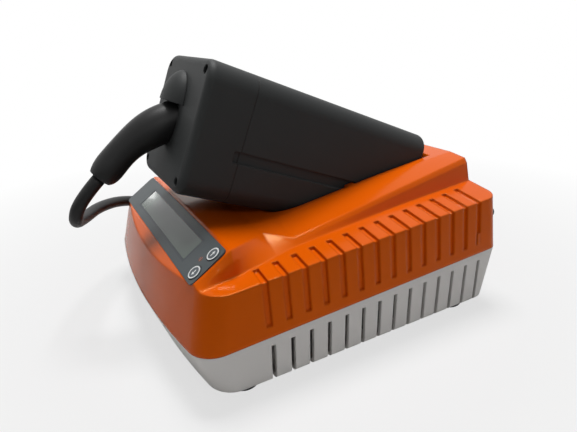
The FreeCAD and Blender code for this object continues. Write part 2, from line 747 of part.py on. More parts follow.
cap = pack_block(pack_w, pack_low, pack_high, face_y, part_y, pack_round)
for sign in (-1, 1):
    cap = cap.cut(nose_wedge(sign))
front_edges = [edge for edge in cap.Edges if abs(edge.BoundBox.YMax - face_y) < 0.01]
cap = cap.makeFillet(size("cap_face_round"), front_edges)
cap_outside = cap
hollow = pack_block(pack_w - shell_in - size("nose_draw"), pack_low + shell_in, pack_high - shell_in,
                    face_y + shell_in, part_y + 1.0, pack_round - shell_in)
cap = cap.cut(hollow)
screw_spots = [
    (x, v)
    for x in (-size("screw_half_span"), size("screw_half_span"))
    for v in (size("screw_low"), size("screw_high"))
]
well = size("screw_well_radius")
well_depth = size("screw_well_depth")
post_wall = 2.2
shank_hole = 1.5
Y_WAY = Vector(0, 1, 0)
for x, v in screw_spots:
    post = Part.makeCylinder(well + post_wall, part_y - face_y, Vector(x, face_y, v), Y_WAY)
    cap = cap.fuse(post.common(cap_outside))
for x, v in screw_spots:
    cap = cap.cut(Part.makeCylinder(well, well_depth, Vector(x, face_y, v), Y_WAY))
    cap = cap.cut(Part.makeCylinder(shank_hole, part_y - face_y + 1.0, Vector(x, face_y, v), Y_WAY))
for tool in channel_tools(channel_start, part_y + 1.0):
    cap = cap.cut(tool)

shell = pack_block(pack_w, pack_low, pack_high, part_y, tail, pack_round)
edges_tail = [edge for edge in shell.Edges if abs(edge.BoundBox.YMin - tail) < 0.01]
shell = shell.makeFillet(size("tail_round"), edges_tail)
shell = shell.cut(pack_block(pack_w - shell_in, pack_low + shell_in, pack_high - shell_in,
                             part_y - 1.0, tail - shell_in, pack_round - shell_in))
for sign in (-1, 1):
    back_wall = Part.makeBox(
        shell_in, tail - part_y - 4.0, size("rail_high") - size("rail_low") + 2 * shell_in,
        Vector(pack_w - channel - shell_in if sign > 0 else -pack_w + channel, part_y,
               size("rail_low") - shell_in),
    )
    shell = shell.fuse(back_wall)
for tool in channel_tools(part_y - 1.0, tail + 1.0):
    shell = shell.cut(tool)
for x, v in screw_spots:
    post = Part.makeCylinder(well + 1.6, 16.0, Vector(x, part_y, v), Y_WAY)
    shell = shell.fuse(post.common(pack_block(pack_w, pack_low, pack_high, part_y, tail, pack_round)))
    shell = shell.cut(Part.makeCylinder(1.2, 13.0, Vector(x, part_y, v), Y_WAY))
for x in blade_xs:
    shell = shell.cut(Part.makeBox(2 * blade_half_x + 1.2, 12.0, 2 * blade_half_z + 1.2,
                                   Vector(x - blade_half_x - 0.6, tail - 6.0, blade_v - blade_half_z - 0.6)))
shell = shell.removeSplitter()
screws = []
head_high = 2.4
shank_radius = 1.15
shank_long = 22.0
drive_radius = 0.9
for x, v in screw_spots:
    head_at = Vector(x, face_y + well_depth - head_high, v)
    head = Part.makeCylinder(size("screw_head_radius"), head_high, head_at, Y_WAY)
    shank = Part.makeCylinder(shank_radius, shank_long, Vector(x, face_y + well_depth, v), Y_WAY)
    drive = Part.makeCylinder(drive_radius, head_high / 2, head_at, Y_WAY)
    screws.append(head.fuse(shank).cut(drive))
for (x, v), form in zip(screw_spots, screws):
    side = "right" if x > 0 else "left"
    level = "upper" if v > (pack_low + pack_high) / 2 else "lower"
    node = shape_node("cap_screw_%s_%s" % (level, side), form)
    node.Placement = PACK_PLACE
    keep("cap_screw_%s_%s" % (level, side), node)

# Strain relief: a thick tapering sleeve that leaves the end face and bends down

r_root = size("boot_radius_root")
r_end = size("boot_radius_end")
boot_bend = [
    (r_root, Vector(-3.3, face_y + 4.4, 124.0)),
    (r_root + 0.3, Vector(-3.5, face_y - 3.1, 118.2)),
    (r_root + 0.2, Vector(-3.9, face_y - 9.5, 112.4)),
    ((3.0 * r_root + r_end) / 4, Vector(-4.7, face_y - 17.0, 104.0)),
    ((r_root + r_end) / 2, Vector(-5.8, face_y - 24.7, 91.4)),
    (r_end, Vector(-7.0, face_y - 32.7, 74.5)),
]


def boot_circle(k, radius):
    """A circle square to the boot's line at its k-th point."""
    before = boot_bend[max(k - 1, 0)][1]
    after = boot_bend[min(k + 1, len(boot_bend) - 1)][1]
    circle = Part.Circle(boot_bend[k][1], after - before, radius)
    return Part.Wire([circle.toShape()])


boot = Part.makeLoft([boot_circle(k, r) for k, (r, _p) in enumerate(boot_bend)], True, False)

# Hood over the sleeve's root: a quarter of an egg on the end face, open below

hood_x = -3.0
hood_sink = 2.0
hood_v = size("hood_edge")
scale = FreeCAD.Matrix()
scale.A11 = size("hood_half_width")
scale.A22 = size("hood_depth") + hood_sink
scale.A33 = size("hood_height")
egg = Part.makeSphere(1.0).transformGeometry(scale)
egg.translate(Vector(hood_x, face_y + hood_sink, hood_v))
hood_room = Part.makeBox(
    2 * size("hood_half_width"), size("hood_depth") + hood_sink, size("hood_height"),
    Vector(hood_x - size("hood_half_width"), face_y - size("hood_depth") - hood_sink, hood_v),
)
hood = egg.common(hood_room).cut(boot)
cap = cap.cut(boot).removeSplitter()
for name, form in (("pack_end_cap", cap), ("pack_shell", shell), ("cord_hood", hood), ("cord_boot", boot)):
    node = shape_node(name, form)
    node.Placement = PACK_PLACE
    keep(name, node)

# Inside the pack: connector block and board

contact_l = 60.0
contact_w = 14.0
contact_room = 6.4
block = doc.addObject("Part::Box", "pack_contact_block_box")
bind(block, Length=repr(contact_l), Width=repr(contact_w), Height=repr(contact_w))
block.Placement = PACK_PLACE.multiply(Placement(
    Vector(-contact_l / 2, tail - shell_in - contact_w - contact_room, blade_v - contact_w / 2), Rotation()))
keep("pack_contact_block", block)
inner_board = doc.addObject("Part::Box", "pack_board_box")
inner_board_l = 90.0
bind(inner_board, Length="2 * @pack_half_width - 20", Width=repr(inner_board_l), Height="@board_thick")
inner_board.Placement = PACK_PLACE.multiply(Placement(
    Vector(-pack_w + 10.0, tail - 34.0 - inner_board_l, blade_v + 12.0), Rotation()))
keep("pack_board", inner_board)

# Cradle contacts: block behind the end wall with four blades reaching into the pack

terminal_l = 64.0
terminal_w = 12.0
terminal_h = 16.0
blade_l = 22.0
blade_reach = 4.0
terminal = Part.makeBox(terminal_l, terminal_w, terminal_h,
                        Vector(-terminal_l / 2, cradle_end + wall, blade_v - terminal_h / 2))
blade_forms = []
for x in blade_xs:
    blade = Part.makeBox(2 * blade_half_x, blade_l, 2 * blade_half_z,
                         Vector(x - blade_half_x, tail - blade_reach, blade_v - blade_half_z))
    terminal = terminal.cut(blade)
    blade_forms.append(blade)
node = shape_node("terminal_block", terminal)
node.Placement = PACK_PLACE
keep("terminal_block", node)
for k, blade in enumerate(blade_forms, start=1):
    node = shape_node("terminal_blade_%d" % k, blade)
    node.Placement = PACK_PLACE
    keep("terminal_blade_%d" % k, node)

# Power electronics on the floor of the lower shell

floor_z = foot + wall
stand = size("board_stand")
main_board = doc.addObject("Part::Box", "main_board_box")
bind(main_board, Length="2 * (@body_half_width - @board_side)",
     Width="2 * @body_half_length - @board_front - 32", Height="@board_thick")
place(main_board, "@board_side - @body_half_width", "@board_front - @body_half_length",
      "@foot_height + @shell_wall + @board_stand")
keep("main_board", main_board)
board_x = size("board_side") - half_w
board_y = size("board_front") - half_l
board_top_z = floor_z + stand + size("board_thick")


def on_board(across, along, up=0.0):
    """A spot on the main board, from its front left corner."""
    return Vector(board_x + across, board_y + along, board_top_z + up)


core_w = 46.0
core_l = 40.0
core_h = 34.0
core_window = 8.0
core_yoke = 4.0
transformer = Part.makeBox(core_w, core_l, core_h, on_board(8.0, 5.0))
for across in (14.0, 40.0):
    opening = Part.makeBox(core_window, core_l + 20.0, core_h - 2 * core_yoke, on_board(across, -5.0, core_yoke))
    transformer = transformer.cut(opening)
keep("transformer_core", shape_node("transformer_core", transformer))

sink_length = 60.0
sink_height = 26.0
fin_count = 7
fin_thick = 1.6
fin_pitch = (sink_length - fin_thick) / (fin_count - 1)
heatsink = Part.makeBox(sink_length, 4.0, sink_height, on_board(60.0, 11.0))
for k in range(fin_count):
    heatsink = heatsink.fuse(Part.makeBox(fin_thick, 16.0, sink_height, on_board(60.0 + k * fin_pitch, 15.0)))
keep("heatsink", shape_node("heatsink", heatsink.removeSplitter()))

cans = ((18.0, 65.0, 11.0, 24.0), (44.0, 65.0, 11.0, 24.0), (70.0, 63.0, 6.0, 16.0))
for k, (across, along, radius, height) in enumerate(cans, start=1):
    can = doc.addObject("Part::Cylinder", "capacitor_%d_can" % k)
    can.Radius = radius
    can.Height = height
    can.Placement.Base = on_board(across, along)
    keep("capacitor_%d" % k, can)
choke = doc.addObject("Part::Torus", "line_choke_ring")
choke.Radius1 = 8.5
choke.Radius2 = 3.8
choke.Placement = Placement(on_board(98.0, 65.0, 3.9), Rotation())
keep("line_choke", choke)

# Cooling fan standing inside the right-hand wall

fan_half = size("fan_half")
fan_t = size("fan_thick")
fan_x = half_w - wall - 8.0 - fan_t
fan_y = half_l - 87.0
fan_z = floor_z + fan_half + 0.2
fan_axis = Vector(1, 0, 0)
bore_r = fan_half - 1.5
hub_r = 9.0
frame = Part.makeBox(fan_t, 2 * fan_half, 2 * fan_half, Vector(fan_x, fan_y - fan_half, fan_z - fan_half))
frame = frame.cut(Part.makeCylinder(bore_r, fan_t, Vector(fan_x, fan_y, fan_z), fan_axis))
spokes = Part.makeCylinder(hub_r, 2.0, Vector(fan_x, fan_y, fan_z), fan_axis)
for k in range(4):
    arm = Part.makeBox(2.0, 2.6, bore_r + 1.0, Vector(fan_x, fan_y - 1.3, fan_z))
    arm.rotate(Vector(fan_x, fan_y, fan_z), fan_axis, 45.0 + 90.0 * k)
    spokes = spokes.fuse(arm)
frame = frame.fuse(spokes)
for sy in (-1, 1):
    for sz in (-1, 1):
        frame = frame.cut(Part.makeCylinder(
            1.7, fan_t, Vector(fan_x, fan_y + sy * (fan_half - 3.5), fan_z + sz * (fan_half - 3.5)), fan_axis))
keep("fan_frame", shape_node("fan_frame", frame.removeSplitter()))
rotor = Part.makeCylinder(hub_r, fan_t - 4.0, Vector(fan_x + 2.5, fan_y, fan_z), fan_axis)
for k in range(7):
    blade = Part.makeBox(9.0, 1.4, bore_r - 1.0 - hub_r + 2.0, Vector(-4.5, -0.7, hub_r - 2.0))
    blade.rotate(Vector(0, 0, 0), Vector(0, 0, 1), 32.0)
    blade.translate(Vector(fan_x + 8.2, fan_y, fan_z))
    blade.rotate(Vector(fan_x, fan_y, fan_z), fan_axis, 360.0 * k / 7)
    rotor = rotor.fuse(blade)
keep("fan_rotor", shape_node("fan_rotor", rotor.removeSplitter()))

# Mains inlet in the rear wall: shell with a deep cavity, three pins

inlet_gap = 0.15
inlet_len = 24.0
inlet = Part.makeBox(2 * (inlet_half_w - inlet_gap), inlet_len, 2 * (inlet_half_h - inlet_gap),
                     Vector(inlet_x - inlet_half_w + inlet_gap, inlet_face - inlet_len, inlet_z - inlet_half_h + inlet_gap))
cavity = Part.makeBox(2 * (inlet_half_w - 2.2), inlet_len - 6.0, 2 * (inlet_half_h - 2.2),
                      Vector(inlet_x - inlet_half_w + 2.2, inlet_face - inlet_len + 6.0, inlet_z - inlet_half_h + 2.2))
inlet = inlet.cut(cavity)
pins = []
for dx, dz in ((-5.0, -2.0), (0.0, 2.0), (5.0, -2.0)):
    pin = Part.makeBox(1.6, inlet_len - 8.0, 3.0,
                       Vector(inlet_x + dx - 0.8, inlet_face - inlet_len, inlet_z + dz - 1.5))
    inlet = inlet.cut(pin)
    pins.append(pin)
keep("mains_inlet", shape_node("mains_inlet", inlet))
for k, pin in enumerate(pins, start=1):
    keep("inlet_pin_%d" % k, shape_node("inlet_pin_%d" % k, pin))

# Rubber buffers on the rear wall

buffer_z = size("buffer_height")
buffer_r = size("buffer_radius")
rear_draw = size("cover_lean_rear") / size("cover_lean_height")
buffer_y = half_l - rear_draw * (buffer_z - seam_at(0)) - 0.6
for name, sign in (("rear_buffer_right", 1), ("rear_buffer_left", -1)):
    spot = Vector(sign * (half_w - size("buffer_side")), buffer_y, buffer_z)
    button = Part.makeCylinder(buffer_r, 3.4, spot, Y_WAY)
    button = button.makeFillet(1.5, [button.Edges[0]])
    keep(name, shape_node(name, button.cut(outside)))

# Lead: the free stretch from the strain relief down the left side to the coil

cord_r = size("cord_radius")
boot_end = PACK_PLACE.multVec(boot_bend[-1][1])
boot_way = boot_bend[-1][1] - boot_bend[-2][1]
join_gap = size("join_gap")
first_run = 19.5
boot_way = PACK_PLACE.Rotation.multVec(boot_way)
boot_way.normalize()
coil_middle = Vector(-size("coil_x"), size("coil_y"), 0)
coil_pitch = size("coil_pitch")
coil_in = size("coil_inner")
turns_in = 2.0
turns_out = 1.5
ground = cord_r + 0.1
upper_layer = ground + coil_pitch
coil_start_r = coil_in + coil_pitch * turns_in
coil_start = coil_middle + Vector(coil_start_r, -2 * cord_r, upper_layer)

LEAD_ROUTE = [
    boot_end + boot_way * join_gap,
    boot_end + boot_way * first_run,
    Vector(-19.0, -147.0, 80.5),
    Vector(-42.0, -140.0, 74.0),
    Vector(-71.0, -126.0, 71.0),
    Vector(-98.0, -105.0, 64.0),
    Vector(-115.0, -80.0, 52.0),
    Vector(-120.0, -54.0, 37.0),
    Vector(-120.0, -30.0, 24.0),
    Vector(coil_start.x, -8.0, upper_layer + 0.8),
    coil_start - Vector(0, join_gap, 0),
]


def rounded_route(points):
    """Straight runs joined by tangent arcs, each as large as its two runs allow."""
    edges = []
    radii = []
    here = points[0]
    for k in range(1, len(points) - 1):
        back = points[k - 1] - points[k]
        ahead = points[k + 1] - points[k]
        run = min(back.Length, ahead.Length)
        back.normalize()
        ahead.normalize()
        turn = math.pi - back.getAngle(ahead)
        cut = 0.45 * run
        radius = cut / math.tan(turn / 2)
        start = points[k] + back * cut
        end = points[k] + ahead * cut
        middle = back + ahead
        middle.normalize()
        centre = points[k] + middle * (radius / math.cos(turn / 2))
        bulge = centre - middle * radius
        edges.append(Part.LineSegment(here, start).toShape())
        edges.append(Part.Arc(start, bulge, end).toShape())
        radii.append(round(radius, 1))
        here = end
    edges.append(Part.LineSegment(here, points[-1]).toShape())
    return Part.Wire(edges), radii


lead_wire, lead_radii = rounded_route(LEAD_ROUTE)


def tube(wire, start, direction, radius):
    ring = Part.Wire([Part.Circle(start, direction, radius).toShape()])
    return wire.makePipeShell([ring], True, False)


lead = tube(lead_wire, LEAD_ROUTE[0], LEAD_ROUTE[1] - LEAD_ROUTE[0], cord_r)
print("lead radii", lead_radii)
print("lead start", [[round(c, 2) for c in point] for point in LEAD_ROUTE[:2]])
print("lead length", round(lead_wire.Length, 1),
      "volume ratio", round(lead.Volume / (math.pi * cord_r ** 2 * lead_wire.Length), 4))
keep("cord_lead", shape_node("cord_lead", lead))

# Coil: spirals in on the upper layer, steps down in half a turn and spirals out on the floor

step_turn = 0.5
coil_turns = turns_in + step_turn + turns_out
step_draw = 1.6


def coil_point(turn):
    """Position after so many turns: radius and height as the winding goes round."""
    angle = 2 * math.pi * turn
    if turn <= turns_in:
        radius = coil_start_r - coil_pitch * turn
        height = upper_layer
    elif turn <= turns_in + step_turn:
        share = (turn - turns_in) / step_turn
        radius = coil_in - step_draw * math.sin(math.pi * share)
        height = upper_layer - coil_pitch * (0.5 - 0.5 * math.cos(math.pi * share))
    else:
        out = turn - turns_in - step_turn
        radius = coil_in + coil_pitch * out
        height = ground
    return coil_middle + Vector(radius * math.cos(angle), radius * math.sin(angle), height)


def biarc(start, start_way, end, end_way):
    """Two arcs that leave and arrive along the given directions."""
    span = end - start
    total = start_way + end_way
    spread = 2.0 * (1.0 - start_way.dot(end_way))
    root = math.sqrt(span.dot(total) ** 2 + spread * span.dot(span))
    reach = (root - span.dot(total)) / spread
    joint = (start + end + (start_way - end_way) * reach) * 0.5
    edges = []
    for a, way, b in ((start, start_way, joint), (end, end_way * -1.0, joint)):
        chord = b - a
        side = chord - way * chord.dot(way)
        radius = chord.dot(chord) / (2.0 * side.Length)
        side.normalize()
        centre = a + side * radius
        bulge = (a + b) * 0.5 - centre
        bulge.normalize()
        middle = centre + bulge * radius
        if a is start:
            edges.append(Part.Arc(a, middle, b).toShape())
        else:
            edges.append(Part.Arc(b, middle, a).toShape())
    return edges


stations = [k * 0.25 for k in range(int(coil_turns * 4) + 1)]
spots = [coil_point(t) for t in stations]
ways = []
for t in stations:
    before = coil_point(max(t - 0.05, 0.0))
    after = coil_point(min(t + 0.05, coil_turns))
    way = after - before
    if t in (0.0, coil_turns):
        way = Vector(0, 1, 0)
    way.normalize()
    ways.append(way)
coil_edges = [Part.LineSegment(coil_start, spots[0]).toShape()]
for k in range(len(stations) - 1):
    coil_edges += biarc(spots[k], ways[k], spots[k + 1], ways[k + 1])
coil_end = spots[-1] + Vector(0, 2 * cord_r, 0)
coil_edges.append(Part.LineSegment(spots[-1], coil_end).toShape())
coil_wire = Part.Wire(coil_edges)
coil = tube(coil_wire, coil_start, Vector(0, 1, 0), cord_r)
samples = []
travelled = 0.0
for edge in coil_wire.OrderedEdges:
    count = max(int(edge.Length / 2.0), 2)
    for point in edge.discretize(count + 1)[:-1]:
        samples.append((travelled, point))
        travelled += edge.Length / count
least = min(
    (a[1] - b[1]).Length
    for i, a in enumerate(samples) for b in samples[i + 30:]
    if b[0] - a[0] > 60.0
)
print("coil length", round(coil_wire.Length, 1), "least gap", round(least - 2 * cord_r, 2),
      "volume ratio", round(coil.Volume / (math.pi * cord_r ** 2 * coil_wire.Length), 4))
keep("cord_coil", shape_node("cord_coil", coil))

# Free tail: from the coil's outer end on the floor up to the plug's axis

plug_r = 10.0
plug_axis = Vector(0, 1, 0)
tail_run = 18.0
plug_rise = plug_r + 0.2 - ground
TAIL_ROUTE = [
    coil_end,
    coil_end + plug_axis * tail_run,
    coil_end + plug_axis * (2 * tail_run) + Vector(0, 0, plug_rise),
    coil_end + plug_axis * (3 * tail_run) + Vector(0, 0, plug_rise),
]
tail_wire, tail_radii = rounded_route(TAIL_ROUTE)
tail_tube = tube(tail_wire, coil_end, plug_axis, cord_r)
print("tail radii", tail_radii, "length", round(tail_wire.Length, 1),
      "volume ratio", round(tail_tube.Volume / (math.pi * cord_r ** 2 * tail_wire.Length), 4))
keep("cord_tail", shape_node("cord_tail", tail_tube))

# Far end of the lead: a round plug with a locking ring and its own short sleeve

tail_end = TAIL_ROUTE[-1]
sleeve = Part.makeCone(cord_r + 1.6, 7.0, 14.0, tail_end, plug_axis)
plug_start = tail_end + plug_axis * 14.0
plug = Part.makeCylinder(8.6, 34.0, plug_start, plug_axis)
plug = plug.fuse(sleeve)
ring_back = plug_start + plug_axis * 12.0
ring_bore = 8.65
rib_radius = 0.7
ring = Part.makeCylinder(plug_r, 16.0, ring_back, plug_axis)
ring = ring.cut(Part.makeCylinder(ring_bore, 18.0, ring_back - plug_axis, plug_axis))
for k in range(12):
    angle = 2 * math.pi * (k + 0.5) / 12
    spot = ring_back - plug_axis + Vector(plug_r * math.cos(angle), 0, plug_r * math.sin(angle))
    ring = ring.cut(Part.makeCylinder(rib_radius, 18.0, spot, plug_axis))
plug = plug.cut(Part.makeCylinder(6.6, 15.0, plug_start + plug_axis * 20.0, plug_axis))
keep("lead_plug", shape_node("lead_plug", plug.removeSplitter()))
keep("plug_ring", shape_node("plug_ring", ring.removeSplitter()))
plug_pins = []
for k, (dx, dz) in enumerate(((-2.6, 0.0), (2.6, 0.0), (0.0, 3.2)), start=1):
    pin = Part.makeCylinder(0.9, 11.0, plug_start + Vector(dx, 15.0, dz), plug_axis)
    plug_pins.append(pin)
node = parts["lead_plug"]
solid = node.Shape
for k, pin in enumerate(plug_pins, start=1):
    solid = solid.cut(pin)
    keep("plug_pin_%d" % k, shape_node("plug_pin_%d" % k, pin))
node.Shape = solid

# Checks, then one file for each sub-part

doc.recompute()
broken = [thing.Label for thing in doc.Objects if "Invalid" in thing.State or "Error" in thing.State]
if broken:
    raise RuntimeError("not computed: " + ", ".join(broken))
os.makedirs("parts", exist_ok=True)
for label, thing in parts.items():
    shape = thing.Shape
    if shape.isNull() or not shape.isValid():
        raise RuntimeError("bad shape: " + label)
    if len(shape.Solids) != 1:
        print("solids", label, len(shape.Solids))
    shape.exportStep("parts/" + label + ".step")
print(len(parts), "sub-parts")
box = FreeCAD.BoundBox()
for label, thing in parts.items():
    if label not in ("cord_lead", "cord_coil", "cord_tail", "lead_plug", "plug_ring", "plug_pin_1", "plug_pin_2",
                     "plug_pin_3", "cord_boot"):
        box.add(thing.Shape.BoundBox)
print("object without its lead", box)
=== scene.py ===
import bpy
import math
import numpy as np
from mathutils import Matrix, Vector


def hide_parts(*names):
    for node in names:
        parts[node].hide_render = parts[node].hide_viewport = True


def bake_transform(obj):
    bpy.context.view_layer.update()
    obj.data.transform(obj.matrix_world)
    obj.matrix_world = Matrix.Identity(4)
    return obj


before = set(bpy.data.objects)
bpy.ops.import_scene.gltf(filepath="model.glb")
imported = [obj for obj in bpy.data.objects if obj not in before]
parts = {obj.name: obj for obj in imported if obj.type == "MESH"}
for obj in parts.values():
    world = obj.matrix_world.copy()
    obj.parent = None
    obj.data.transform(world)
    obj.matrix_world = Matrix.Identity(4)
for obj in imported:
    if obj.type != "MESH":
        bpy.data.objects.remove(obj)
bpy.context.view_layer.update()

# Camera: held by hand down the vented side, from the display end, close enough for strong
# perspective. Its place and turn were solved from the grooves and the seam.
focal_length = 28.94
film_width = 36.0
near_clip, far_clip = 0.01, 20.0
camera_spot = Vector((0.29138, -0.15789, 0.19325))
rough_right = Vector((0.4861, 0.8736, -0.0256)).normalized()
back = Vector((0.8153, -0.4427, 0.3732)).normalized()
up = back.cross(rough_right).normalized()
right = up.cross(back).normalized()

eye = bpy.data.cameras.new("eye")
eye.lens = focal_length
eye.sensor_width = film_width
eye.clip_start = near_clip
eye.clip_end = far_clip
camera = bpy.data.objects.new("eye", eye)
bpy.context.scene.collection.objects.link(camera)
stand = Matrix((right, up, back)).transposed().to_4x4()
stand.translation = camera_spot
camera.matrix_world = stand
bpy.context.scene.camera = camera

# Lead: one round black rubber cable from the strain relief, down behind the left side,
# round a put-away coil on the table and into its plug. Extruded over its wires, with the
# strain relief moulded on.
cable = 0.0085
table_gap = 0.0001
on_table = cable / 2 + table_gap
layer = 0.0092
upper_layer = on_table + layer
coil_middle = np.array([-0.174, 0.020, 0.0])
inner_radius = 0.037
turns_in, step_down, turns_out = 2.0, 0.5, 1.5
outer_radius = inner_radius + layer * turns_in
step_squeeze = 0.0016
start_turn = 0.02
winding_points = 66
coil_side = coil_middle[0] + outer_radius
landing_rise = 0.0008
route = [
    (-0.00703, -0.12828, 0.11066),
    (-0.00825, -0.14218, 0.09763),
    (-0.0190, -0.1470, 0.0805),
    (-0.0420, -0.1400, 0.0740),
    (-0.0710, -0.1260, 0.0710),
    (-0.0980, -0.1050, 0.0640),
    (-0.1150, -0.0800, 0.0520),
    (-0.1200, -0.0540, 0.0370),
    (-0.1200, -0.0300, 0.0240),
    (coil_side, -0.0080, upper_layer + landing_rise),
    (coil_side, 0.0115, upper_layer),
]


def coil_line(turn):
    """The coil's middle line at each turn, about the coil's upright axis.

    The angle is a full circle for each turn. The radius falls by one layer a turn on the
    way in, dips by half a sine wave on the step down, and grows by one layer a turn on
    the way out. The height falls by one layer along half a cosine wave over the step.
    """
    share = np.clip((turn - turns_in) / step_down, 0.0, 1.0)
    out = np.clip(turn - turns_in - step_down, 0.0, None)
    winding_in = outer_radius - layer * turn
    stepping = inner_radius - step_squeeze * np.sin(math.pi * share)
    radius = np.where(turn < turns_in, winding_in, stepping) + layer * out
    height = upper_layer - layer * (0.5 - 0.5 * np.cos(math.pi * share))
    angle = 2 * math.pi * turn
    flat = np.stack([radius * np.cos(angle), radius * np.sin(angle), height], axis=1)
    return flat + coil_middle


winding = coil_line(np.linspace(start_turn, turns_in + step_down + turns_out, winding_points))
first_run = 0.0085
tail_run = 0.018
plug_height = 0.0102
tail_x = winding[-1][0]
tail_y = winding[-1][1] + first_run
tail = [
    (tail_x, tail_y, on_table),
    (tail_x, tail_y + tail_run, on_table),
    (tail_x, tail_y + 2 * tail_run, plug_height),
    (tail_x, tail_y + 3 * tail_run, plug_height),
]


def smooth_line(points, steps):
    """Points along a quadratic B-spline that starts and ends on the outer two points."""
    curve = bpy.data.curves.new("lead_line", "CURVE")
    curve.dimensions = "3D"
    curve.resolution_u = steps
    spline = curve.splines.new("NURBS")
    spline.points.add(len(points) - 1)
    spline.points.foreach_set("co", np.array([(*p, 1.0) for p in points]).ravel())
    spline.order_u = 3
    spline.use_endpoint_u = True
    holder = bpy.data.objects.new("lead_line", curve)
    bpy.context.scene.collection.objects.link(holder)
    bpy.context.view_layer.update()
    ready = holder.evaluated_get(bpy.context.evaluated_depsgraph_get())
    traced = bpy.data.meshes.new_from_object(ready)
    line = np.empty(len(traced.vertices) * 3)
    traced.vertices.foreach_get("co", line)
    bpy.data.objects.remove(holder)
    bpy.data.meshes.remove(traced)
    return line.reshape(-1, 3)


def carried(line, radius, sides=20):
    """Rings round a line: the line plus the radius times (side cos a + over sin a).

    The side way at each point is the last one less its share along the line, made one
    long again, so the ring turns as little as it can. Over is the line's way times it.
    """
    ways = np.gradient(line, axis=0)
    ways /= np.linalg.norm(ways, axis=1)[:, None]
    side = np.cross(ways[0], [0.0, 0.0, 1.0])
    side /= np.linalg.norm(side)
    rows = []
    for way in ways:
        side = side - way * side.dot(way)
        side /= np.linalg.norm(side)
        rows.append(side)
    across = np.array(rows)
    over = np.cross(ways, across)
    angle = np.linspace(0, 2 * math.pi, sides, endpoint=False)[None, :, None]
    ring = across[:, None, :] * np.cos(angle) + over[:, None, :] * np.sin(angle)
    return line[:, None, :] + ring * radius


def skin(name, grid):
    """A closed mesh over a grid of rings: a quad between each ring's points and the
    next ring's, and one flat face on each end."""
    rows, sides, _ = grid.shape
    i, j = np.meshgrid(np.arange(rows - 1), np.arange(sides), indexing="ij")
    k = (j + 1) % sides
    quads = np.stack([i * sides + j, (i + 1) * sides + j, (i + 1) * sides + k, i * sides + k], axis=-1)
    faces = quads.reshape(-1, 4).tolist()
    faces.append(list(range(sides)))
    faces.append(list(range((rows - 1) * sides, rows * sides))[::-1])
    mesh = bpy.data.meshes.new(name)
    mesh.from_pydata(grid.reshape(-1, 3).tolist(), [], faces)
    mesh.polygons.foreach_set("use_smooth", [len(p.vertices) == 4 for p in mesh.polygons])
    piece = bpy.data.objects.new(name, mesh)
    bpy.context.scene.collection.objects.link(piece)
    return piece


line = smooth_line(route + [tuple(p) for p in winding] + tail, steps=12)
lead = skin("lead", carried(line, cable / 2))
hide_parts("cord_lead", "cord_coil", "cord_tail")
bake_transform(lead)


class Wire:
    """A node's output, used in sums and comparisons like a number."""

    def __init__(self, nodes, socket):
        self.nodes = nodes
        self.socket = socket

    def maths(self, operation, *values):
        return self.nodes.add("ShaderNodeMath", {"operation": operation}, dict(enumerate(values)))

    def __add__(self, other):
        return self.maths("ADD", self, other)

    __radd__ = __add__

    def __sub__(self, other):
        return self.maths("SUBTRACT", self, other)

    def __rsub__(self, other):
        return self.maths("SUBTRACT", other, self)

    def __mul__(self, other):
        return self.maths("MULTIPLY", self, other)

    __rmul__ = __mul__

    def __lt__(self, other):
        return self.maths("LESS_THAN", self, other)

    def __gt__(self, other):
        return self.maths("GREATER_THAN", self, other)

    def __abs__(self):
        return self.maths("ABSOLUTE", self)

    def root(self):
        return self.maths("SQRT", self)

    def remainder(self):
        """What is left past the last whole number."""
        return self.maths("FRACT", self)

    def kept_within(self, low, high):
        return self.maths("MINIMUM", self.maths("MAXIMUM", self, low), high)

    def axis(self, number):
        """One of a vector's three values."""
        return self.nodes.add("ShaderNodeSeparateXYZ", {}, {0: self}, out=number)


class Nodes:
    """The nodes of a material or of the world."""

    def __init__(self, owner, empty=True):
        owner.use_nodes = True
        self.tree = owner.node_tree
        if empty:
            self.tree.nodes.clear()

    def add(self, kind, settings, sockets, out=0):
        """A node of a kind: its settings first, then its sockets' values or wires."""
        made = self.tree.nodes.new(kind)
        for name, value in settings.items():
            setattr(made, name, value)
        for key, value in sockets.items():
            self.plug(made.inputs[key], value)
        return Wire(self, made.outputs[out]) if made.outputs else None

    def plug(self, socket, value):
        if isinstance(value, Wire):
            self.tree.links.new(value.socket, socket)
        else:
            socket.default_value = value

    def own_place(self):
        return self.add("ShaderNodeTexCoord", {}, {}, out="Object")


class Finish(Nodes):
    """A material for this object's pieces, over the piece's own coordinates.

    Names of shader sockets are written with an underscore for each space.
    """

    def __init__(self, name, **fixed):
        self.material = bpy.data.materials.new(name)
        super().__init__(self.material, empty=False)
        self.shader = self.tree.nodes["Principled BSDF"]
        self.surface(**fixed)
        self.place = self.own_place()

    def surface(self, **values):
        for name, value in values.items():
            self.plug(self.shader.inputs[name.replace("_", " ")], value)

    def noise(self, scale, detail=2.0, rough=0.5):
        return self.add("ShaderNodeTexNoise", {},
                        {"Vector": self.place, "Scale": scale, "Detail": detail, "Roughness": rough})

    def between(self, share, first, second):
        """Runs from the first colour to the second as the share goes from 0 to 1."""
        return self.add("ShaderNodeMix", {"data_type": "RGBA"}, {0: share, 6: first, 7: second}, out=2)

    def relief(self, height, strength, depth, edge=0.0):
        """A surface raised by a height, over corners rounded to the edge radius."""
        sockets = {"Strength": strength, "Distance": depth, "Height": height}
        if edge > 0:
            sockets["Normal"] = self.add("ShaderNodeBevel", {"samples": 6}, {"Radius": edge})
        return self.add("ShaderNodeBump", {}, sockets)

    def dress(self, *names):
        """Puts the material on the named pieces."""
        for name in names:
            piece = parts[name] if name in parts else bpy.data.objects[name]
            piece.data.materials.clear()
            piece.data.materials.append(self.material)


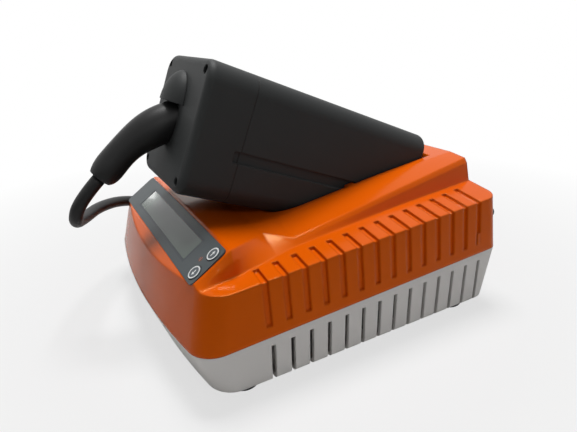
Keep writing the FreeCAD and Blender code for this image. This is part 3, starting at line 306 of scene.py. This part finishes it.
jacket = Finish("lead_jacket", Specular_IOR_Level=0.25)
jacket_dark, jacket_rubbed = (0.006, 0.006, 0.006, 1), (0.013, 0.013, 0.013, 1)
grain = jacket.noise(scale=1400.0, detail=3.0)
rubbed = jacket.noise(scale=60.0)
jacket.surface(
    Base_Color=jacket.between(rubbed, jacket_dark, jacket_rubbed),
    Roughness=0.36 + grain * 0.14,
    Normal=jacket.relief(grain, strength=0.25, depth=0.0002))
jacket.dress("lead", "cord_boot")

# Upper cover: one injection moulding in a glossy orange, from a polished tool, with a
# small radius on its edges and deep side grooves. It is screwed down from below.
cover = Finish("cover_gloss", Specular_IOR_Level=0.22, Specular_Tint=(1.0, 0.62, 0.16, 1),
               Coat_Roughness=0.05, Coat_IOR=1.4, Coat_Tint=(1.0, 0.9, 0.75, 1))
orange_deep, orange_bright = (0.77, 0.106, 0.0, 1), (0.83, 0.126, 0.0, 1)
cover_edge = 0.0024
flow = cover.noise(scale=18.0, detail=3.0)
peel = cover.noise(scale=420.0)
dust = cover.noise(scale=2400.0, detail=1.0)
cover.surface(
    Base_Color=cover.between(flow, orange_deep, orange_bright),
    Roughness=0.13 + peel * 0.05 + dust * 0.04,
    Coat_Weight=0.03 + flow * 0.05,
    Normal=cover.relief(peel, strength=0.04, depth=0.0003, edge=cover_edge))
cover.dress("upper_housing")

# Lower shell: the tray under the seam, moulded in a pale warm grey with a fine even
# grain and slotted along both sides. It carries the feet and all of the electronics.
shell = Finish("shell_grain", Specular_IOR_Level=0.3)
grey_dull, grey_pale = (0.78, 0.755, 0.725, 1), (0.83, 0.805, 0.775, 1)
shell_edge = 0.0010
grain = shell.noise(scale=2600.0)
cloud = shell.noise(scale=22.0, detail=3.0)
shell.surface(
    Base_Color=shell.between(cloud, grey_dull, grey_pale),
    Roughness=0.42 + grain * 0.12,
    Normal=shell.relief(grain, strength=0.18, depth=0.00015, edge=shell_edge))
shell.dress("lower_housing")

# Feet and rear buffers: buttons of black rubber with a dull skin. The feet are held by
# short stems in the shell's floor, and the buffers sit on the cover's rear wall.
rubber = Finish("foot_rubber", Specular_IOR_Level=0.35)
rubber_black, rubber_dusty = (0.012, 0.012, 0.012, 1), (0.030, 0.029, 0.028, 1)
rubber_edge = 0.0006
grain = rubber.noise(scale=1800.0, detail=3.0)
rubber.surface(
    Base_Color=rubber.between(grain, rubber_black, rubber_dusty),
    Roughness=0.62 + grain * 0.15,
    Normal=rubber.relief(grain, strength=0.3, depth=0.0002, edge=rubber_edge))
rubber.dress("foot_front_left", "foot_front_right", "foot_rear_left", "foot_rear_right",
             "rear_buffer_left", "rear_buffer_right")

# Adapter pack: end cap and shell in charcoal glass-filled nylon, with a spark-eroded
# texture, paler where hands have polished it. A fine dark line parts them, and the hood
# over the strain relief is of the same nylon. Four deep screws hold the cap.
pack = Finish("pack_eroded", Specular_IOR_Level=0.28)
nylon_dark, nylon_handled = (0.012, 0.0135, 0.0135, 1), (0.019, 0.0205, 0.0205, 1)
line_dark = (0.002, 0.002, 0.002, 1)
pack_tilt = math.radians(21.53)
pack_root = (0.0, -0.065, 0.006)
parting_y = -0.033
parting_half = 0.00045
pack_edge = 0.0010
grain = pack.noise(scale=1500.0, detail=3.0, rough=0.6)
pits = pack.add("ShaderNodeTexVoronoi", {}, {"Vector": pack.place, "Scale": 1100.0})
handled = pack.noise(scale=30.0, detail=3.0)
from_root = pack.add("ShaderNodeVectorMath", {"operation": "SUBTRACT"}, {0: pack.place, 1: pack_root})
lying = pack.add("ShaderNodeVectorRotate", {"rotation_type": "X_AXIS"}, {"Vector": from_root, "Angle": pack_tilt})
parting = abs(lying.axis(1) - parting_y) < parting_half
nylon = pack.between(handled, nylon_dark, nylon_handled)
pack.surface(
    Base_Color=pack.between(parting, nylon, line_dark),
    Roughness=0.50 + grain * 0.14,
    Normal=pack.relief(grain * 0.6 + pits * 0.4 - parting * 2.0, strength=0.30, depth=0.00022, edge=pack_edge))
pack.dress("pack_end_cap", "pack_shell", "cord_hood")

# Cap screws: steel with zinc plating, dulled at the bottom of their deep holes, and
# driven through the end cap into the shell's posts.
zinc = Finish("screw_zinc", Metallic=0.9)
zinc_dull, zinc_bright = (0.10, 0.10, 0.11, 1), (0.24, 0.24, 0.25, 1)
scratch = zinc.noise(scale=900.0, detail=4.0)
zinc.surface(
    Base_Color=zinc.between(scratch, zinc_dull, zinc_bright),
    Roughness=0.35 + scratch * 0.2,
    Normal=zinc.relief(scratch, strength=0.2, depth=0.0001))
zinc.dress("cap_screw_lower_left", "cap_screw_lower_right", "cap_screw_upper_left", "cap_screw_upper_right")

# Display label: a slate printed film, glued into a recess of the cover's front slope,
# with a darker printed border round the window.
panel_middle = (0.0, -0.0917, 0.0769)
panel_tilt = math.radians(35.0)
border_half_x, border_half_s = 0.0552, 0.0089


def on_panel(finish, spot=(0.0, 0.0)):
    """How far a point lies from a spot on the panel: across, and up the slope."""
    moved = finish.add("ShaderNodeVectorMath", {"operation": "SUBTRACT"}, {0: finish.place, 1: panel_middle})
    turned = finish.add("ShaderNodeVectorRotate", {"rotation_type": "X_AXIS"},
                        {"Vector": moved, "Angle": -panel_tilt})
    return turned.axis(0) - spot[0], turned.axis(1) - spot[1]


film = Finish("label_film", Specular_IOR_Level=0.35)
slate_dark, slate_pale = (0.055, 0.066, 0.070, 1), (0.070, 0.082, 0.086, 1)
border_ink = (0.045, 0.053, 0.060, 1)
across, slope = on_panel(film)
fleck = film.noise(scale=2200.0)
cloud = film.noise(scale=40.0)
border = (abs(across) < border_half_x) * (abs(slope) < border_half_s)
film.surface(
    Base_Color=film.between(border, film.between(cloud, slate_dark, slate_pale), border_ink),
    Roughness=0.38 + fleck * 0.12,
    Normal=film.relief(fleck, strength=0.1, depth=0.0001))
film.dress("display_label")

# Keys: two moulded buttons that stand through the label, pad-printed with a white ring
# and an arrow. The rear key's arrow points up the slope, the front key's down.
key_spots = {"key_rear": ((0.0727, 0.0068), 1.0), "key_front": ((0.0727, -0.0071), -1.0)}
ring_inner, ring_outer = 0.0033, 0.0041
shaft_half_width, shaft_half_length = 0.00038, 0.0017
arrow_foot, arrow_tip = 0.0004, 0.0021
arrow_slant = 0.75
key_slate, key_ink = (0.075, 0.090, 0.100, 1), (0.80, 0.81, 0.80, 1)
key_edge = 0.0003
for name, (spot, way) in key_spots.items():
    key = Finish(name + "_print", Specular_IOR_Level=0.5)
    across, slope = on_panel(key, spot)
    along = slope * way
    reach = (across * across + slope * slope).root()
    ring = (reach > ring_inner) * (reach < ring_outer)
    shaft = (abs(across) < shaft_half_width) * (abs(along) < shaft_half_length)
    head = (along > arrow_foot) * (along < arrow_tip) * (abs(across) < (arrow_tip - along) * arrow_slant)
    ink = (ring + shaft + head).kept_within(0.0, 1.0)
    fleck = key.noise(scale=2200.0)
    key.surface(
        Base_Color=key.between(ink, key_slate, key_ink),
        Roughness=0.36 + fleck * 0.12,
        Normal=key.relief(fleck, strength=0.1, depth=0.0001, edge=key_edge))
    key.dress(name)

# Display window: a clear polished pane over a switched-off grey-green liquid crystal,
# whose rows of cells show as faint lines. It is glued into the label.
window = Finish("window_glass", Specular_IOR_Level=0.25, Coat_Roughness=0.03)
crystal_dark, crystal_pale = (0.048, 0.074, 0.056, 1), (0.064, 0.095, 0.074, 1)
row_colour = (0.10, 0.12, 0.11, 1)
rows_per_metre = 1250.0
row_width, row_show = 0.12, 0.05
slope = on_panel(window)[1]
tint = window.noise(scale=14.0)
cell_rows = ((slope * rows_per_metre).remainder() < row_width) * row_show
window.surface(
    Base_Color=window.between(cell_rows, window.between(tint, crystal_dark, crystal_pale), row_colour),
    Roughness=0.10 + tint * 0.05,
    Coat_Weight=0.35 + tint * 0.15)
window.dress("lcd_window")

# Status lamp: the end of a moulded rod of dull red plastic between the keys, which
# leads the light up from the board. It is shown switched off.
lamp_rod = Finish("lamp_lens", Specular_IOR_Level=0.6)
red_dark, red_pale = (0.17, 0.065, 0.045, 1), (0.24, 0.10, 0.075, 1)
haze = lamp_rod.noise(scale=900.0)
lamp_rod.surface(
    Base_Color=lamp_rod.between(haze, red_dark, red_pale),
    Roughness=0.2 + haze * 0.15)
lamp_rod.dress("status_lens")

# Boards: etched glass-fibre laminate under a green solder mask, paler over the copper
# tracks. One lies behind the label, one on the shell's floor and one in the pack.
board = Finish("board_mask", Specular_IOR_Level=0.5)
mask_dark, mask_track = (0.010, 0.075, 0.030, 1), (0.022, 0.150, 0.060, 1)
track_limit = 0.45
cells = board.add("ShaderNodeTexVoronoi", {"distance": "MANHATTAN", "feature": "F1"},
                  {"Vector": board.place, "Scale": 240.0})
tracks = cells > track_limit
mottle = board.noise(scale=300.0)
board.surface(
    Base_Color=board.between(tracks, mask_dark, mask_track),
    Roughness=0.35 + mottle * 0.2,
    Normal=board.relief(tracks, strength=0.2, depth=0.0001))
board.dress("display_board", "main_board", "pack_board")

# Black mouldings: the terminal and contact blocks, inlet, fan and the lead's plug, all
# injection moulded in plain polyamide with a fine texture and screwed or clipped in.
moulded = Finish("connector_black", Specular_IOR_Level=0.45)
polyamide_dark, polyamide_pale = (0.014, 0.014, 0.015, 1), (0.026, 0.026, 0.027, 1)
moulded_edge = 0.0005
grain = moulded.noise(scale=1700.0, detail=3.0)
moulded.surface(
    Base_Color=moulded.between(grain, polyamide_dark, polyamide_pale),
    Roughness=0.45 + grain * 0.15,
    Normal=moulded.relief(grain, strength=0.2, depth=0.0002, edge=moulded_edge))
moulded.dress("terminal_block", "pack_contact_block", "mains_inlet", "fan_frame", "fan_rotor",
              "lead_plug", "plug_ring", "lcd_module")

# Contacts: blades and pins stamped or turned from plated brass, with fine drawing
# marks. Each is pressed into its black moulding.
plated = Finish("contact_plate", Metallic=1.0)
brass_dull, brass_bright = (0.62, 0.50, 0.28, 1), (0.80, 0.70, 0.46, 1)
drawn = plated.noise(scale=1200.0, detail=4.0)
plated.surface(
    Base_Color=plated.between(drawn, brass_dull, brass_bright),
    Roughness=0.22 + drawn * 0.2,
    Normal=plated.relief(drawn, strength=0.15, depth=0.0001))
plated.dress(*[n for n in parts if n.startswith(("terminal_blade", "inlet_pin", "plug_pin"))])

# Heatsink: a length of extruded aluminium with the lines of its die along its fins,
# sawn off and fixed upright on the main board.
extruded = Finish("heatsink_extruded", Metallic=1.0)
aluminium_dull, aluminium_bright = (0.52, 0.53, 0.54, 1), (0.66, 0.67, 0.68, 1)
streak = extruded.add("ShaderNodeTexWave", {"bands_direction": "Z"},
                      {"Vector": extruded.place, "Scale": 500.0, "Distortion": 1.5})
extruded.surface(
    Base_Color=extruded.between(streak, aluminium_dull, aluminium_bright),
    Roughness=0.3 + streak * 0.15,
    Normal=extruded.relief(streak, strength=0.2, depth=0.0001))
extruded.dress("heatsink")

# Capacitors: aluminium cans in shrunk sleeves of dark blue film, fixed upright on the
# main board by their wires.
sleeve = Finish("capacitor_sleeve", Specular_IOR_Level=0.5)
sleeve_dark, sleeve_blue = (0.012, 0.016, 0.045, 1), (0.020, 0.028, 0.070, 1)
wrap = sleeve.noise(scale=250.0)
sleeve.surface(
    Base_Color=sleeve.between(wrap, sleeve_dark, sleeve_blue),
    Roughness=0.25 + wrap * 0.15,
    Normal=sleeve.relief(wrap, strength=0.1, depth=0.0002))
sleeve.dress("capacitor_1", "capacitor_2", "capacitor_3")

# Transformer core: a stack of thin steel sheets, punched, varnished and clamped, which
# stands on the main board.
stack = Finish("core_laminations", Metallic=0.6)
varnish_dark, varnish_pale = (0.030, 0.027, 0.024, 1), (0.075, 0.068, 0.060, 1)
sheets = stack.add("ShaderNodeTexWave", {"bands_direction": "X"}, {"Vector": stack.place, "Scale": 320.0})
stack.surface(
    Base_Color=stack.between(sheets, varnish_dark, varnish_pale),
    Roughness=0.4 + sheets * 0.2,
    Normal=stack.relief(sheets, strength=0.4, depth=0.0003))
stack.dress("transformer_core")

# Line choke: a ring core of pressed powder under a baked yellow coat, lying on the
# main board. Its winding isn't modelled.
choke = Finish("choke_coat", Specular_IOR_Level=0.5)
coat_dark, coat_yellow = (0.16, 0.14, 0.035, 1), (0.24, 0.21, 0.06, 1)
speck = choke.noise(scale=700.0, detail=3.0)
choke.surface(
    Base_Color=choke.between(speck, coat_dark, coat_yellow),
    Roughness=0.4 + speck * 0.2,
    Normal=choke.relief(speck, strength=0.2, depth=0.0002))
choke.dress("line_choke")

# Floor: a wide sheet of pale paper that takes the soft shadow. For the camera it glows
# a little more with distance, until it is as white as the room.
floor_reach = 4
paper_grey = (0.66, 0.66, 0.66, 1)
glow_near, glow_gain = 0.68, 0.32
fade_rate, fade_start = 3.2, 0.55
white_colour = (1, 1, 1, 1)
floor_mesh = bpy.data.meshes.new("studio_floor")
floor_corners = [(-floor_reach, -floor_reach, 0), (floor_reach, -floor_reach, 0),
                 (floor_reach, floor_reach, 0), (-floor_reach, floor_reach, 0)]
floor_mesh.from_pydata(floor_corners, [], [(0, 1, 2, 3)])
floor = bpy.data.objects.new("studio_floor", floor_mesh)
bpy.context.scene.collection.objects.link(floor)
sweep = bpy.data.materials.new("studio_sweep")
sheet = Nodes(sweep)
paper = sheet.add("ShaderNodeBsdfDiffuse", {}, {"Color": paper_grey})
glow = sheet.add("ShaderNodeEmission", {}, {"Color": white_colour, "Strength": 1.0})
away = sheet.add("ShaderNodeVectorMath", {"operation": "LENGTH"}, {0: sheet.own_place()}, out="Value")
far = (away * fade_rate - fade_start).kept_within(0.0, 1.0)
shown = sheet.add("ShaderNodeLightPath", {}, {}, out="Is Camera Ray")
both = sheet.add("ShaderNodeMixShader", {}, {0: shown * (glow_near + far * glow_gain), 1: paper, 2: glow})
sheet.add("ShaderNodeOutputMaterial", {}, {"Surface": both})
floor_mesh.materials.append(sweep)

# Room: white to the camera, in glass and in gloss, and for everything else a soft even
# fill, slightly cool, that only opens the shadows.
fill_colour, fill_strength = (0.95, 0.97, 1.0, 1), 0.10
world = bpy.data.worlds.new("studio_room")
bpy.context.scene.world = world
room = Nodes(world)
white = room.add("ShaderNodeBackground", {}, {"Color": white_colour, "Strength": 1.0})
fill = room.add("ShaderNodeBackground", {}, {"Color": fill_colour, "Strength": fill_strength})
seen, gloss, through = [room.add("ShaderNodeLightPath", {}, {}, out=kind)
                        for kind in ("Is Camera Ray", "Is Glossy Ray", "Is Transmission Ray")]
bright = (seen + gloss + through).kept_within(0.0, 1.0)
both = room.add("ShaderNodeMixShader", {}, {0: bright, 1: fill, 2: white})
room.add("ShaderNodeOutputWorld", {}, {"Surface": both})


# Lamps: a large soft box high overhead, a little to the left, gives most of the light.
# Two long strips lift the vented side and the front, and a small lamp far to the left
# puts the soft highlight on the display. Sizes are in metres and powers in watts.
def softbox(name, spot, target, size, power):
    """A rectangular lamp at a spot, turned to face a target."""
    lamp = bpy.data.lights.new(name, "AREA")
    lamp.shape = "RECTANGLE"
    lamp.size, lamp.size_y = size
    lamp.energy = power
    holder = bpy.data.objects.new(name, lamp)
    bpy.context.scene.collection.objects.link(holder)
    holder.location = spot
    holder.visible_camera = False
    aim = Vector(target) - Vector(spot)
    holder.rotation_mode = "QUATERNION"
    holder.rotation_quaternion = aim.to_track_quat("-Z", "Y")


softbox("key_box", spot=(-0.16, 0.06, 1.10), target=(0, 0, 0.05), size=(0.42, 0.32), power=10.5)
softbox("side_strip", spot=(1.10, 0.05, 0.75), target=(0, 0, 0.06), size=(0.9, 0.03), power=1.3)
softbox("front_strip", spot=(-0.30, -1.10, 0.80), target=(0, 0, 0.08), size=(0.03, 0.6), power=0.2)
softbox("left_window", spot=(-0.98, -0.285, 0.335), target=(-0.05, -0.09, 0.08), size=(0.08, 0.06), power=0.07)
bpy.context.scene.view_settings.view_transform = "Standard"
